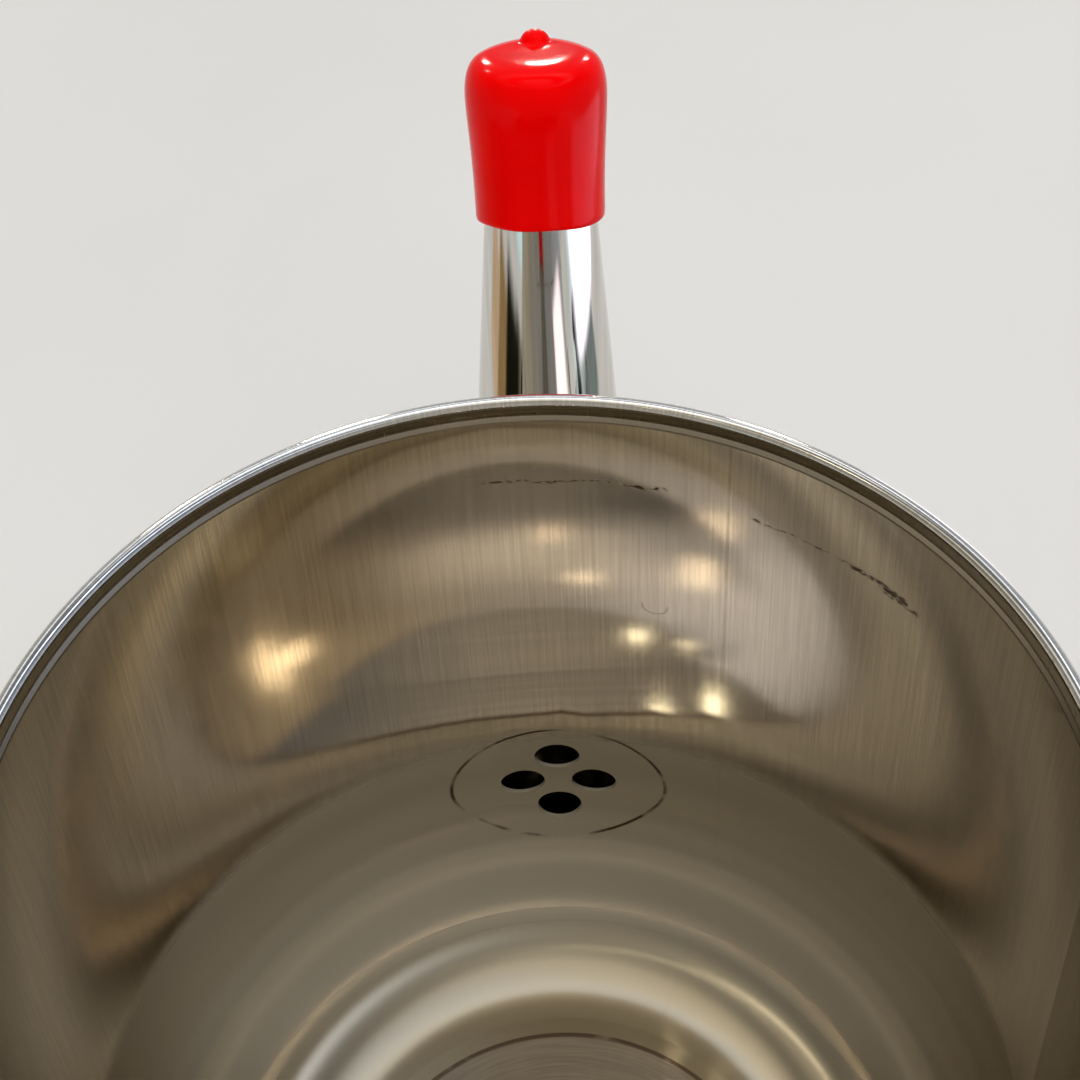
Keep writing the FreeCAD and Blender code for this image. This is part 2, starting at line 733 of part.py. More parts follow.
def make_strainer_mesh():
    """Woven disc that lies on the punched floor."""
    body = new_body("strainer_mesh")
    low = cell.strainer_sheet
    high = low + cell.mesh_thickness
    turned(body, "disc", [(0, low), (mesh_radius, low), (mesh_radius, high), (0, high)])
    place(body, across=stand_apart)
    return body


def make_mesh_retainer():
    """Ring spot-welded down over the edge of the woven disc."""
    body = new_body("mesh_retainer")
    low = cell.strainer_sheet + cell.mesh_thickness
    inner = mesh_radius - cell.retainer_width
    rounding = cell.retainer_height / 2
    turned(body, "ring", [
        (inner, low),
        (mesh_radius, low),
        (mesh_radius, low + rounding, ("ccw", rounding)),
        (mesh_radius - rounding, low + cell.retainer_height),
        (inner + rounding, low + cell.retainer_height, ("ccw", rounding)),
        (inner, low + rounding),
    ])
    place(body, across=stand_apart)
    return body


# ---- lid -------------------------------------------------------------------------------------

lid_rim = strainer_rim + cell.lid_overhang
wires_apart = lid_rim - cell.lid_curl - strainer_rim + cell.strainer_curl
wires_reach = cell.lid_curl + cell.strainer_curl + cell.lid_seat_gap
lid_level = (cell.strainer_depth + cell.strainer_sheet / 2 - cell.lid_sheet / 2
             + root(wires_reach * wires_reach - wires_apart * wires_apart))
lid_middle = cell.lid_rise - cell.lid_plug


def place_on_lid(body, up):
    place(body, across=stand_apart, up=lid_level + up)


def make_lid_shell():
    """Pressed lid: wired flange, plug that drops into the mouth, gutter and raised middle."""
    body = new_body("lid_shell")
    gauge = cell.lid_sheet
    edge = wired_edge(lid_rim, cell.lid_curl, gauge, Size(0))[0]
    draft = tangent(cell.strainer_draft)
    plug_top = strainer_top - cell.strainer_sheet - cell.lid_gap
    plug_foot = plug_top - cell.lid_plug * draft
    slope_foot = plug_foot - cell.lid_gutter
    slope_top = slope_foot - cell.lid_slope
    pitch = cell.lid_rise / cell.lid_slope
    shift = gauge * (root(pitch * pitch + 1) - 1) / pitch
    hole = cell.screw_radius + cell.screw_fit
    turned(body, "pressing", [
        (hole, lid_middle),
        (slope_top, lid_middle),
        (slope_foot, -cell.lid_plug),
        (plug_foot, -cell.lid_plug),
        (plug_top, 0),
        (edge, 0, ("ccw", cell.lid_curl, "long")),
        (edge, gauge),
        (plug_top - gauge, gauge),
        (plug_foot - gauge, gauge - cell.lid_plug),
        (slope_foot + shift, gauge - cell.lid_plug),
        (slope_top + shift, lid_middle + gauge),
        (hole, lid_middle + gauge),
    ])
    floor = -cell.lid_plug
    bend(body, "plug_top", (plug_top - gauge, gauge), (plug_top, 0), cell.lid_bend, gauge, up=False)
    bend(body, "plug_foot", (plug_foot - gauge, gauge + floor), (plug_foot, floor), cell.lid_bend, gauge, up=True)
    bend(body, "slope_foot", (slope_foot + shift, gauge + floor), (slope_foot, floor), cell.lid_sweep, gauge,
         up=True)
    bend(body, "slope_top", (slope_top + shift, lid_middle + gauge), (slope_top, lid_middle), cell.lid_sweep,
         gauge, up=False)
    place_on_lid(body, Size(0))
    return body


def make_knob_washer():
    """Dished washer that spreads the knob's load over the lid."""
    body = new_body("knob_washer")
    hole = cell.screw_radius + cell.screw_fit
    turned(body, "dish", [
        (hole, 0),
        (cell.washer_radius, 0),
        (cell.knob_base, cell.washer_sheet),
        (hole, cell.washer_sheet),
    ])
    place_on_lid(body, lid_middle + cell.lid_sheet)
    return body


def make_lid_knob():
    """Turned-looking moulded knob, waisted for the fingers, bored for its threaded insert."""
    body = new_body("lid_knob")
    foot = cell.knob_height * 0.06
    waist = cell.knob_height * 0.36
    head = cell.knob_height * 0.68
    brow = cell.knob_height * 0.86
    crown = sphere_radius(cell.knob_head - cell.knob_edge, cell.knob_height - brow)
    turned(body, "body", [
        (cell.insert_radius, 0),
        (cell.knob_base, 0),
        (cell.knob_base, foot, ("cw", cell.knob_height * 0.8)),
        (cell.knob_waist, waist, ("cw", cell.knob_head * 0.62)),
        (cell.knob_head, head),
        (cell.knob_head, brow - cell.knob_edge, ("ccw", cell.knob_edge)),
        (cell.knob_head - cell.knob_edge, brow, ("ccw", crown)),
        (0, cell.knob_height),
        (0, cell.insert_length),
        (cell.insert_radius, cell.insert_length),
    ])
    place_on_lid(body, lid_middle + cell.lid_sheet + cell.washer_sheet)
    return body


def make_knob_insert():
    """Threaded brass bush moulded into the knob; the thread itself is left plain."""
    body = new_body("knob_insert")
    bore = cell.screw_radius + cell.screw_fit
    turned(body, "bush", [
        (bore, 0),
        (cell.insert_radius, 0),
        (cell.insert_radius, cell.insert_length),
        (bore, cell.insert_length),
    ])
    place_on_lid(body, lid_middle + cell.lid_sheet + cell.washer_sheet)
    return body


def make_knob_screw():
    """Pan-head screw put in from under the lid."""
    body = new_body("knob_screw")
    turned(body, "screw", [
        (0, -cell.screw_head_height),
        (cell.screw_head * 0.7, -cell.screw_head_height, ("ccw", cell.screw_head_height)),
        (cell.screw_head, -cell.screw_head_height * 0.3),
        (cell.screw_head, 0),
        (cell.screw_radius, 0),
        (cell.screw_radius, cell.screw_length),
        (0, cell.screw_length),
    ])
    place_on_lid(body, lid_middle)
    return body


# ---- build, check and write ------------------------------------------------------------------

make_pot_wall()
make_pot_bottom()
make_spout_tube()
make_spout_flange()
make_spout_cap()
make_saddle("handle_upper_saddle", handle_top)
make_saddle("handle_lower_saddle", cell.handle_bottom)
make_handle_back()
make_handle_front()
make_strainer_cup()
make_strainer_mesh()
make_mesh_retainer()
make_lid_shell()
make_knob_washer()
make_lid_knob()
make_knob_insert()
make_knob_screw()
doc.recompute()

failed = [item.Name for item in doc.Objects if "Invalid" in item.State or "Error" in item.State]
if failed:
    raise RuntimeError("features failed: " + ", ".join(failed))

os.makedirs("parts", exist_ok=True)
for body in NODES:
    if body.Shape.isNull() or not body.Shape.isValid() or len(body.Shape.Solids) != 1:
        raise RuntimeError(body.Label + " is not one valid solid")
    body.Shape.exportStep(os.path.join("parts", body.Label + ".step"))
    print("%-22s %10.1f mm3" % (body.Label, body.Shape.Volume))
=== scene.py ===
import math

import bmesh
import bpy
from mathutils import Matrix, Vector, noise


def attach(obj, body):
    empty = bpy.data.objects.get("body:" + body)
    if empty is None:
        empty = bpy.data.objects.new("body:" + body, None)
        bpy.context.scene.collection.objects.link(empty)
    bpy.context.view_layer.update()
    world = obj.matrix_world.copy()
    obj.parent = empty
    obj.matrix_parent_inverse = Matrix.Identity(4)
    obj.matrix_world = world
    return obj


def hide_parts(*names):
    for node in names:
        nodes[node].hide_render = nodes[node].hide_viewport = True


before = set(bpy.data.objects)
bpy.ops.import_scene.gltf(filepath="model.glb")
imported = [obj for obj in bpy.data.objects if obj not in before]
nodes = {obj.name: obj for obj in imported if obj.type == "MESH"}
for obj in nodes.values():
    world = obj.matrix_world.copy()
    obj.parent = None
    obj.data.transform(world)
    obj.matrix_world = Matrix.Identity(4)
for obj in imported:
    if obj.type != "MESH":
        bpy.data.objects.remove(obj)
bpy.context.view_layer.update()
scene = bpy.context.scene

# ---- Camera ------------------------------------------------------------------------------------
# Held in the hand above the handle's side and looking down into the open pot, so that the near
# half of the rim is outside the frame.

camera = bpy.data.objects.new("camera", bpy.data.cameras.new("camera"))
scene.collection.objects.link(camera)
camera.data.sensor_width = 36
camera.data.lens = 57.80
camera.data.clip_start = 0.01
camera.location = (0.00648, -0.08926, 0.26358)
camera.rotation_euler = [math.radians(angle) for angle in (40.7957, 2.1435, 0.2715)]
scene.camera = camera
scene.view_settings.view_transform = "Standard"
scene.cycles.max_bounces = 12
scene.cycles.glossy_bounces = 8

# ---- Light tent --------------------------------------------------------------------------------
# White cloth on all sides of the table, each with its own run of light and tint, blending into the
# next. All but the camera's side have a bright band some 50 degrees up with a dark ring above it,
# and the top is bright.


def srgb(code):
    """A colour written as RRGGBB in sRGB, turned to linear light."""
    parts = [int(code[place:place + 2], 16) / 255 for place in (0, 2, 4)]
    return [part / 12.92 if part <= 0.04045 else ((part + 0.055) / 1.055) ** 2.4 for part in parts] + [1.0]


def add(tree, kind, inputs=None, **settings):
    """Adds a node; an input is given a value, or another node's output that is linked to it."""
    node = tree.nodes.new(kind)
    for name, value in settings.items():
        setattr(node, name, value)
    for name, value in (inputs or {}).items():
        if isinstance(value, bpy.types.NodeSocket):
            tree.links.new(value, node.inputs[name])
        else:
            node.inputs[name].default_value = value
    return node


def fill_ramp(node, stops):
    """Gives a colour ramp its stops, as (place, colour)."""
    ramp = node.color_ramp
    ramp.elements[0].position, ramp.elements[0].color = stops[0]
    ramp.elements[1].position, ramp.elements[1].color = stops[-1]
    for place, colour in stops[1:-1]:
        ramp.elements.new(place).color = colour
    return node


tent = bpy.data.worlds.new("tent")
scene.world = tent
tent.use_nodes = True
tree = tent.node_tree
tree.nodes.clear()
direction = add(tree, "ShaderNodeTexCoord").outputs["Generated"]
parts = add(tree, "ShaderNodeSeparateXYZ", {0: direction})
flat = add(tree, "ShaderNodeCombineXYZ", {"X": parts.outputs["X"], "Y": parts.outputs["Y"]})
heading = add(tree, "ShaderNodeVectorMath", {0: flat.outputs[0]}, operation="NORMALIZE")
compass = add(tree, "ShaderNodeSeparateXYZ", {0: heading.outputs[0]})
# Each step is an elevation in degrees and the brightness there. The ramps run over the direction's
# height, which is the elevation's sine, from 12 degrees below level up to the top.
lowest, brightest = -0.21, 3.0
far_side = ((-12, 0.40), (15, 0.45), (38, 0.60), (46, 0.66), (47.8, 2.15), (50, 2.05), (52, 1.3),
            (56, 0.9), (59.5, 0.22), (67, 0.20), (71, 2.3), (80, 2.1), (90, 1.5))
right_side = ((-12, 0.85), (30, 0.26), (36, 0.15), (44.5, 0.16), (46, 1.1), (48.5, 1.35), (50, 2.4),
              (53.5, 2.2), (56, 0.9), (59.5, 0.16), (70, 0.16), (76, 1.2), (90, 1.4))
left_side = ((-12, 0.80), (30, 0.22), (44, 0.20), (45.5, 0.58), (51, 0.62), (54, 0.95), (57, 0.86),
             (60, 0.16), (70, 0.16), (76, 1.2), (90, 1.4))
near_side = ((-12, 0.36), (10, 0.40), (30, 0.44), (48, 0.38), (60.5, 0.35), (62.5, 0.50), (68, 0.55),
             (74, 1.1), (90, 0.95))
total = None
for axis, sign, tint, steps in (("Y", 1.0, "f0f6ff", far_side), ("X", 1.0, "dde8ff", right_side),
                                ("X", -1.0, "fff8e8", left_side), ("Y", -1.0, "fff9ec", near_side)):
    shares = srgb(tint)
    stops = []
    for rise, level in steps:
        place = (math.sin(math.radians(rise)) - lowest) / (1 - lowest)
        stops.append((place, [level / brightest * part / shares[1] for part in shares[:3]] + [1.0]))
    height = add(tree, "ShaderNodeMapRange", {"Value": parts.outputs["Z"], "From Min": lowest,
                                              "From Max": 1.0})
    ramp = fill_ramp(add(tree, "ShaderNodeValToRGB", {0: height.outputs[0]}), stops)
    facing = add(tree, "ShaderNodeMath", {0: compass.outputs[axis], 1: sign}, operation="MULTIPLY",
                 use_clamp=True)
    weight = add(tree, "ShaderNodeMath", {0: facing.outputs[0], 1: 2.0}, operation="POWER")
    share = add(tree, "ShaderNodeVectorMath", {0: ramp.outputs[0], "Scale": weight.outputs[0]},
                operation="SCALE").outputs[0]
    total = share if total is None else add(tree, "ShaderNodeVectorMath", {0: total, 1: share}).outputs[0]
background = add(tree, "ShaderNodeBackground", {"Color": total, "Strength": brightest})
add(tree, "ShaderNodeOutputWorld", {"Surface": background.outputs[0]})

# ---- Lamps -------------------------------------------------------------------------------------
# Six small strip lamps, which the pot's wall mirrors as bright patches, and one broad soft box
# overhead that lights the cloth and whatever else isn't a mirror.

pot_middle = Vector((0, 0, 0.10))
lamp_distance = 1.5
# Degrees from +Y towards +X, degrees up, width and height in metres, brightness, colour.
for name, azimuth, elevation, wide, tall, brightness, colour in (
        ("lamp_left", -111, 53.2, 0.24, 0.050, 6.5, "fff8e2"),
        ("lamp_right", 78, 50.2, 0.22, 0.075, 4.5, "fffbf2"),
        ("lamp_far", 12, 48.4, 0.14, 0.040, 4.0, "fff4e6"),
        ("lamp_line", 27, 53.0, 0.20, 0.020, 7.0, "fffdf8"),
        ("lamp_over_left", -149, 62.0, 0.055, 0.026, 8.0, "fffee8"),
        ("lamp_over_right", -135, 61.0, 0.055, 0.026, 8.0, "fffee8")):
    lamp = bpy.data.objects.new(name, bpy.data.lights.new(name, "AREA"))
    scene.collection.objects.link(lamp)
    lamp.data.shape = "RECTANGLE"
    lamp.data.size, lamp.data.size_y = wide, tall
    lamp.data.energy = brightness * math.pi * wide * tall
    lamp.data.color = srgb(colour)[:3]
    turn, rise = math.radians(azimuth), math.radians(elevation)
    towards = Vector((math.sin(turn) * math.cos(rise), math.cos(turn) * math.cos(rise), math.sin(rise)))
    lamp.location = pot_middle + towards * lamp_distance
    lamp.rotation_euler = towards.to_track_quat("Z", "Y").to_euler()

soft_box = bpy.data.objects.new("soft_box", bpy.data.lights.new("soft_box", "AREA"))
scene.collection.objects.link(soft_box)
soft_box.data.size = 1.6
soft_box.data.energy = 20.0
soft_box.location = (0.25, -0.5, 1.9)
soft_box.rotation_euler = (soft_box.location - pot_middle).to_track_quat("Z", "Y").to_euler()
soft_box.visible_glossy = False

# ---- Reflector cards ---------------------------------------------------------------------------
# Upright cards of lit film, each with its own colour and brightness, stood round the spout from a
# hand's width to half a metre away. Only reflections show them: they give the tube its stripes and
# the cap its glints.


def new_material(name):
    """An empty node material with its Principled shader."""
    material = bpy.data.materials.new(name)
    material.use_nodes = True
    return material, material.node_tree, material.node_tree.nodes["Principled BSDF"]


def make_piece(form, name, smooth=True):
    """Turns a bmesh into an object of that name in the scene, and frees it."""
    mesh = bpy.data.meshes.new(name)
    form.to_mesh(mesh)
    form.free()
    if smooth:
        mesh.shade_smooth()
    piece = bpy.data.objects.new(name, mesh)
    scene.collection.objects.link(piece)
    return piece


spout_foot = Vector((0, 0.10, 0))
# First and last degrees from +Y towards +X, distance, bottom and top in metres, and light.
for name, first, last, away, low, high, light in (
        ("card_sand", -102, -76, 0.20, -0.001, 0.055, (0.66, 0.48, 0.31)),
        ("card_brown", -123, -95, 0.21, -0.001, 0.070, (0.36, 0.23, 0.10)),
        ("card_black", -142, -113, 0.205, -0.001, 0.085, (0.010, 0.010, 0.006)),
        ("card_olive", -158, -131, 0.28, -0.001, 0.075, (0.20, 0.17, 0.10)),
        ("card_sky", -156, -128, 0.40, 0.070, 0.150, (0.72, 1.0, 1.04)),
        ("card_window", 110, 136, 0.26, -0.001, 0.100, (0.80, 0.97, 1.02)),
        ("card_slate", 88, 115, 0.20, -0.001, 0.072, (0.22, 0.27, 0.26)),
        ("card_stripe", 60, 133, 0.085, 0.078, 0.112, (3.2, 3.0, 3.6)),
        ("card_glint_left", -22, -15, 0.50, 0.240, 0.290, (150.0, 140.0, 120.0)),
        ("card_glint_middle", -3, 3, 0.50, 0.240, 0.285, (130.0, 120.0, 105.0)),
        ("card_glint_right", 15, 21, 0.50, 0.240, 0.285, (120.0, 110.0, 100.0)),
        ("card_glint_far", -36, -29, 0.50, 0.38, 0.42, (50.0, 46.0, 40.0))):
    form = bmesh.new()
    corners = []
    for azimuth, level in ((first, low), (last, low), (last, high), (first, high)):
        turn = math.radians(azimuth)
        reach = Vector((math.sin(turn) * away, math.cos(turn) * away, level))
        corners.append(form.verts.new(spout_foot + reach))
    face = form.faces.new(corners)
    sheet = form.loops.layers.uv.new("sheet")
    for loop, place in zip(face.loops, ((0, 0), (1, 0), (1, 1), (0, 1))):
        loop[sheet].uv = place
    card = make_piece(form, name, smooth=False)
    # Lit film: an even glow within 0.30 of the middle that dies away softly to the edges, at 0.5.
    material, tree, shader = new_material(name)
    tree.nodes.remove(shader)
    glow = add(tree, "ShaderNodeEmission", {"Color": (*light, 1.0), "Strength": 1.0})
    place = add(tree, "ShaderNodeSeparateXYZ", {0: add(tree, "ShaderNodeTexCoord").outputs["UV"]})
    sides = []
    for axis in "XY":
        side = add(tree, "ShaderNodeMath", {0: place.outputs[axis], 1: 0.5}, operation="SUBTRACT")
        side = add(tree, "ShaderNodeMath", {0: side.outputs[0]}, operation="ABSOLUTE")
        side = add(tree, "ShaderNodeMapRange", {"Value": side.outputs[0], "From Min": 0.5, "From Max": 0.30},
                   interpolation_type="SMOOTHSTEP")
        sides.append(side.outputs[0])
    solid = add(tree, "ShaderNodeMath", {0: sides[0], 1: sides[1]}, operation="MULTIPLY")
    clear = add(tree, "ShaderNodeBsdfTransparent")
    film = add(tree, "ShaderNodeMixShader", {0: solid.outputs[0], 1: clear.outputs[0], 2: glow.outputs[0]})
    tree.links.new(film.outputs[0], tree.nodes["Material Output"].inputs["Surface"])
    card.data.materials.append(material)
    card.visible_camera = card.visible_diffuse = card.visible_shadow = False

# ---- Table cloth -------------------------------------------------------------------------------
# A bleached cotton cloth, laid over the table and smoothed out by hand, so that it keeps shallow
# waves a millimetre or so high.

form = bmesh.new()
bmesh.ops.create_grid(form, x_segments=160, y_segments=160, size=2.0)
for vertex in form.verts:
    wave = noise.noise(Vector((vertex.co.x * 5.0, vertex.co.y * 3.0, 1.7)))
    pucker = noise.noise(vertex.co * 11.0) * 0.35
    vertex.co.z = -0.0022 + 0.0012 * (wave + pucker)
cloth = make_piece(form, "table_cloth")
# Plain-woven cotton, bleached: nearly white and matt, its tone drifting over about 30 cm, with
# soft creases some 11 cm apart.
material, tree, shader = new_material("cotton_plain_weave_bleached")
place = add(tree, "ShaderNodeTexCoord").outputs["Object"]
tone = add(tree, "ShaderNodeTexNoise", {"Vector": place, "Scale": 3.5, "Detail": 3.0, "Roughness": 0.5})
shade = fill_ramp(add(tree, "ShaderNodeValToRGB", {0: tone.outputs["Fac"]}),
                  [(0.35, srgb("dddad5")), (0.65, srgb("e3e0da"))])
crease = add(tree, "ShaderNodeTexNoise", {"Vector": place, "Scale": 9.0, "Detail": 2.0, "Distortion": 1.2})
relief = add(tree, "ShaderNodeBump", {"Height": crease.outputs["Fac"], "Strength": 0.25, "Distance": 0.004})
tree.links.new(shade.outputs[0], shader.inputs["Base Color"])
tree.links.new(relief.outputs[0], shader.inputs["Normal"])
shader.inputs["Roughness"].default_value = 0.95
shader.inputs["Specular IOR Level"].default_value = 0.1
cloth.data.materials.append(material)

# ---- Pot wall ----------------------------------------------------------------------------------
# Rolled tube of 18/8 stainless sheet, seam-welded, curled at the rim and spun in at the foot.
# Polished up and down inside, so it mirrors softly and shows upright lines.

MM = 1000.0


def steel_sheet(name, code, rough, hairline, relief_depth, centre=(0, 0, 0), run="round"):
    """Stainless sheet: its own warm grey, hairlines from polishing, and patches some 17 mm wide where
    handling has changed its gloss. The hairlines run round the piece, up it or along it, hairline
    millimetres apart. The parts given back are the place on the piece in millimetres."""
    material, tree, shader = new_material(name)
    place = add(tree, "ShaderNodeTexCoord").outputs["Object"]
    place = add(tree, "ShaderNodeMapping", {"Vector": place, "Location": [-part * MM for part in centre],
                                            "Scale": (MM, MM, MM)}).outputs[0]
    parts = add(tree, "ShaderNodeSeparateXYZ", {0: place})
    fine = 1 / hairline
    if run == "along":
        lines, stretch = place, (fine, 0.04, 0.04)
    else:
        # Upright lines count millimetres round a wall of 57 mm, and round ones 3 lengths to a radian.
        unrolled, stretch = (57.0, (fine, 0.05, 0.05)) if run == "up" else (3.0, (1.0, fine, fine))
        angle = add(tree, "ShaderNodeMath", {0: parts.outputs["X"], 1: parts.outputs["Y"]},
                    operation="ARCTAN2")
        turned = add(tree, "ShaderNodeMath", {0: angle.outputs[0], 1: unrolled}, operation="MULTIPLY")
        flat = add(tree, "ShaderNodeCombineXYZ", {"X": parts.outputs["X"], "Y": parts.outputs["Y"]})
        radius = add(tree, "ShaderNodeVectorMath", {0: flat.outputs[0]}, operation="LENGTH")
        lines = add(tree, "ShaderNodeCombineXYZ", {"X": turned.outputs[0], "Y": radius.outputs["Value"],
                                                   "Z": parts.outputs["Z"]}).outputs[0]
    scaled = add(tree, "ShaderNodeVectorMath", {0: lines, 1: stretch}, operation="MULTIPLY")
    hair = add(tree, "ShaderNodeTexNoise", {"Vector": scaled.outputs[0], "Scale": 1.0, "Detail": 4.0})
    streak = add(tree, "ShaderNodeMapRange", {"Value": hair.outputs["Fac"], "From Min": 0.36,
                                              "From Max": 0.64})
    # A hairline is up to a sixth darker, and a patch up to 15 percent glossier or 20 percent duller.
    darker = [part * 0.84 for part in srgb(code)[:3]] + [1.0]
    tint = add(tree, "ShaderNodeMix", {0: streak.outputs[0], 6: srgb(code), 7: darker}, data_type="RGBA")
    patch = add(tree, "ShaderNodeTexNoise", {"Vector": place, "Scale": 0.06, "Detail": 3.0})
    gloss = add(tree, "ShaderNodeMapRange", {"Value": patch.outputs["Fac"], "From Min": 0.3, "From Max": 0.7,
                                             "To Min": rough * 0.85, "To Max": rough * 1.2})
    relief = add(tree, "ShaderNodeBump", {"Height": hair.outputs["Fac"], "Strength": 0.5,
                                          "Distance": relief_depth / MM})
    tree.links.new(tint.outputs[2], shader.inputs["Base Color"])
    tree.links.new(gloss.outputs[0], shader.inputs["Roughness"])
    tree.links.new(relief.outputs[0], shader.inputs["Normal"])
    shader.inputs["Metallic"].default_value = 1.0
    return material, tree, shader, parts


def wear_and_painted_shade(tree, shader, mask, colour, rough=None):
    """Lays a stain, a weld colour or painted shade over what the shader has so far, where the mask is 1."""
    so_far = shader.inputs["Base Color"].links[0].from_socket
    mixed = add(tree, "ShaderNodeMix", {0: mask, 6: so_far, 7: srgb(colour)}, data_type="RGBA")
    tree.links.new(mixed.outputs[2], shader.inputs["Base Color"])
    if rough is not None:
        so_far = shader.inputs["Roughness"].links[0].from_socket
        mixed = add(tree, "ShaderNodeMix", {0: mask, 2: so_far, 3: rough})
        tree.links.new(mixed.outputs[0], shader.inputs["Roughness"])


def band(tree, value, middle, half, soft):
    """1 where the value is within half of the middle, fading to 0 over soft."""
    away = add(tree, "ShaderNodeMath", {0: value, 1: middle}, operation="SUBTRACT")
    away = add(tree, "ShaderNodeMath", {0: away.outputs[0]}, operation="ABSOLUTE")
    fade = add(tree, "ShaderNodeMapRange", {"Value": away.outputs[0], "From Min": half,
                                            "From Max": half + soft, "To Min": 1.0, "To Max": 0.0},
               interpolation_type="SMOOTHSTEP")
    return fade.outputs[0]


def product(tree, *values):
    """Masks multiplied together."""
    result = values[0]
    for value in values[1:]:
        result = add(tree, "ShaderNodeMath", {0: result, 1: value}, operation="MULTIPLY").outputs[0]
    return result


def wiggle(tree, parts, scale, low, high):
    """Noise of scale per millimetre that breaks a line up: 0 where it is under low, 1 over high."""
    joined = add(tree, "ShaderNodeCombineXYZ", {axis: parts.outputs[axis] for axis in "XYZ"})
    noisy = add(tree, "ShaderNodeTexNoise", {"Vector": joined.outputs[0], "Scale": scale, "Detail": 3.0})
    broken = add(tree, "ShaderNodeMapRange", {"Value": noisy.outputs["Fac"], "From Min": low,
                                              "From Max": high})
    return broken.outputs[0]


# Cold-rolled stainless, satin-polished upwards: a slightly brown mirror that draws what it reflects
# out sideways. The hairlines are drawn 0.3 mm apart, coarser than a belt's, so that they show.
wall_steel, tree, shader, parts = steel_sheet("stainless_18_8_cold_rolled_satin", "d3cabc", 0.065, 0.30,
                                              0.0006, run="up")
shader.inputs["Anisotropic"].default_value = 1.0
sideways = add(tree, "ShaderNodeTangent", direction_type="RADIAL", axis="Z")
tree.links.new(sideways.outputs[0], shader.inputs["Tangent"])
angle = add(tree, "ShaderNodeMath", {0: parts.outputs["X"], 1: parts.outputs["Y"]}, operation="ARCTAN2")
degrees = add(tree, "ShaderNodeMath", {0: angle.outputs[0]}, operation="DEGREES").outputs[0]
level = parts.outputs["Z"]
# The foot is spun in, which leaves it matter than the straight wall above it, and on the spout's
# half a pickled skin is left there too, which scatters part of the light.
foot = add(tree, "ShaderNodeMapRange", {"Value": level, "From Min": 49.0, "From Max": 42.0},
           interpolation_type="SMOOTHSTEP").outputs[0]
spout_half = add(tree, "ShaderNodeMapRange", {"Value": parts.outputs["Y"], "From Min": -5.0,
                                              "From Max": 35.0},
                 interpolation_type="SMOOTHSTEP").outputs[0]
matter = add(tree, "ShaderNodeMapRange", {"Value": level, "From Min": 3.0, "From Max": 14.0,
                                          "To Min": 0.24, "To Max": 0.36}, interpolation_type="SMOOTHSTEP")
polish = shader.inputs["Roughness"].links[0].from_socket
gloss = add(tree, "ShaderNodeMix", {0: foot, 2: polish, 3: matter.outputs[0]})
tree.links.new(gloss.outputs[0], shader.inputs["Roughness"])
pickled = add(tree, "ShaderNodeMapRange", {"Value": level, "From Min": 3.0, "From Max": 8.0,
                                           "To Min": 1.0, "To Max": 0.42}, interpolation_type="SMOOTHSTEP")
bare = add(tree, "ShaderNodeMix", {0: product(tree, foot, spout_half), 2: 1.0, 3: pickled.outputs[0]})
tree.links.new(bare.outputs[0], shader.inputs["Metallic"])
# From about 45 mm down, the wall's colour turns a little darker and yellower.
wear_and_painted_shade(tree, shader, foot, "c8bda6")
# The rolled tube's seam, ground nearly flush, and more so lower down.
seam_degrees = 24.2
fading = add(tree, "ShaderNodeMapRange", {"Value": level, "From Min": 40.0, "From Max": 112.0,
                                          "To Min": 0.06, "To Max": 0.34}).outputs[0]
seam = product(tree, band(tree, degrees, seam_degrees, 0.10, 0.22), wiggle(tree, parts, 0.15, 0.35, 0.6))
wear_and_painted_shade(tree, shader, product(tree, seam, fading), "5a4a38")
# Heat tint of the spout's weld, seen from inside as a broken brown ring round the four holes.
ring_level, ring_half_width, ring_half_height = 32.3, 16.7, 15.0
across = add(tree, "ShaderNodeMath", {0: parts.outputs["X"], 1: ring_half_width}, operation="DIVIDE")
rise = add(tree, "ShaderNodeMath", {0: level, 1: ring_level}, operation="SUBTRACT")
rise = add(tree, "ShaderNodeMath", {0: rise.outputs[0], 1: ring_half_height}, operation="DIVIDE")
spot = add(tree, "ShaderNodeCombineXYZ", {"X": across.outputs[0], "Y": rise.outputs[0]})
from_middle = add(tree, "ShaderNodeVectorMath", {0: spot.outputs[0]}, operation="LENGTH").outputs["Value"]
spout_side = add(tree, "ShaderNodeMath", {0: parts.outputs["Y"], 1: 30.0}, operation="GREATER_THAN")
ring = product(tree, band(tree, from_middle, 1.0, 0.006, 0.02), spout_side.outputs[0])
wear_and_painted_shade(tree, shader, product(tree, ring, wiggle(tree, parts, 0.11, 0.42, 0.55)), "4a3418", 0.35)
# The lower half of a small brown ring, 14.5 degrees round from the spout. There a degree is about a
# millimetre of wall.
mark_level, mark_radius, degree_width, mark_aside = 82.0, 1.7, 0.99, 14.35
aside = add(tree, "ShaderNodeMath", {0: degrees, 1: degree_width, 2: -mark_aside}, operation="MULTIPLY_ADD")
lift = add(tree, "ShaderNodeMath", {0: level, 1: mark_level}, operation="SUBTRACT").outputs[0]
spot = add(tree, "ShaderNodeCombineXYZ", {"X": aside.outputs[0], "Y": lift})
from_mark = add(tree, "ShaderNodeVectorMath", {0: spot.outputs[0]}, operation="LENGTH").outputs["Value"]
lower = add(tree, "ShaderNodeMath", {0: lift, 1: 0.4}, operation="LESS_THAN").outputs[0]
wear_and_painted_shade(tree, shader, product(tree, band(tree, from_mark, mark_radius, 0.05, 0.14), lower, 0.4), "55432c")
